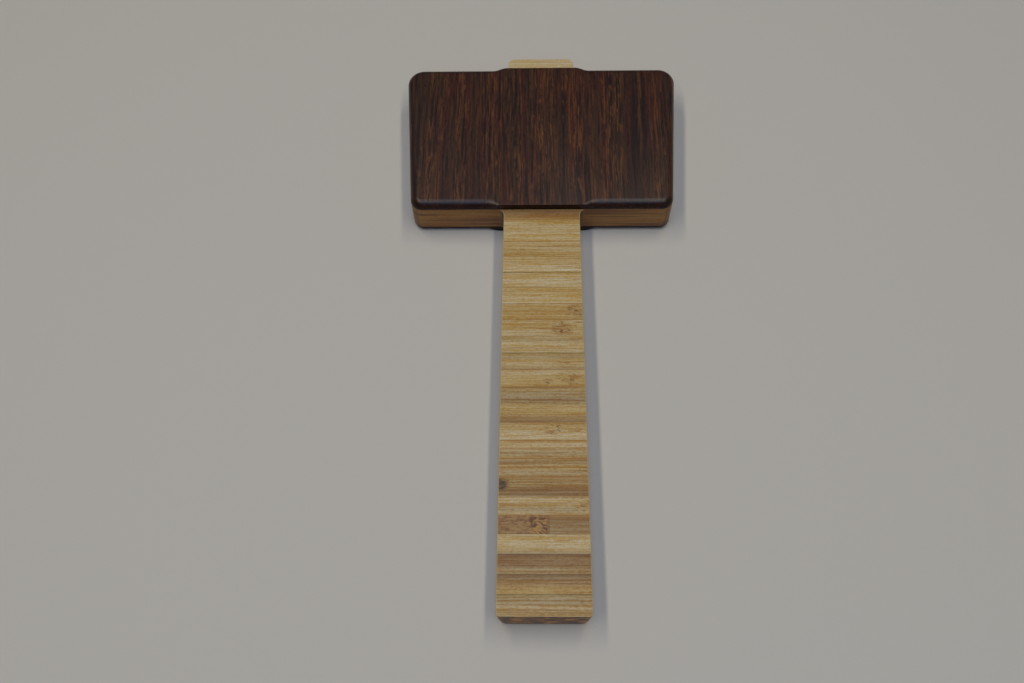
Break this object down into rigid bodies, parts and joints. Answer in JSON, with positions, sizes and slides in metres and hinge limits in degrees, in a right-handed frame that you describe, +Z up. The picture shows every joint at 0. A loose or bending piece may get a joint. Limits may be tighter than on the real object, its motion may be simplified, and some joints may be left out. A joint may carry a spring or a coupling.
{
  "type": "wooden mallet",
  "caption": "Flat wooden joiner's mallet: a T-shaped laminated bamboo board is core, handle and nub, with a dark hardwood plate on each broad side of the head and angled striking faces.",
  "frame": {"origin": "middle of the footprint, level with the underside of the lower face plate that the head lies on", "axes": "+X along the head from one striking face to the other, +Y along the handle from the butt to the head, +Z up out of the upper face plate"},
  "size_m": [0.1488, 0.3134, 0.0261],
  "materials": {
    "rosewood": "dark streaky rosewood, oiled satin",
    "bamboo_pale": "pale laminated bamboo, fine fibre lines, satin",
    "bamboo_golden": "golden laminated bamboo, fine fibre lines, satin",
    "bamboo_brown": "caramel brown laminated bamboo, fine fibre lines, satin"
  },
  "bodies": {
    "root": {"face_plate_bottom": "rosewood", "face_plate_top": "rosewood", "handle_strip_01": "bamboo_pale", "handle_strip_02": "bamboo_golden", "handle_strip_03": "bamboo_brown", "handle_strip_04": "bamboo_pale", "handle_strip_05": "bamboo_brown", "handle_strip_06": "bamboo_pale", "handle_strip_07": "bamboo_brown", "handle_strip_08": "bamboo_golden", "handle_strip_09": "bamboo_golden", "handle_strip_10": "bamboo_pale", "handle_strip_11": "bamboo_golden", "handle_strip_12": "bamboo_brown", "handle_strip_13": "bamboo_golden", "handle_strip_14": "bamboo_golden", "handle_strip_15": "bamboo_pale", "handle_strip_16": "bamboo_golden", "handle_strip_17": "bamboo_golden", "handle_strip_18": "bamboo_pale", "handle_strip_19": "bamboo_pale", "handle_strip_20": "bamboo_pale", "handle_strip_21": "bamboo_golden", "handle_strip_22": "bamboo_pale", "handle_strip_23": "bamboo_pale", "head_strip_01": "bamboo_golden", "head_strip_02": "bamboo_golden", "head_strip_03": "bamboo_golden", "head_strip_04": "bamboo_golden", "head_strip_05": "bamboo_golden", "head_strip_06": "bamboo_golden", "head_strip_07": "bamboo_golden", "head_strip_08": "bamboo_golden", "head_strip_09": "bamboo_golden", "head_strip_10": "bamboo_golden", "nub_strip": "bamboo_golden"}
  },
  "joints": []
}
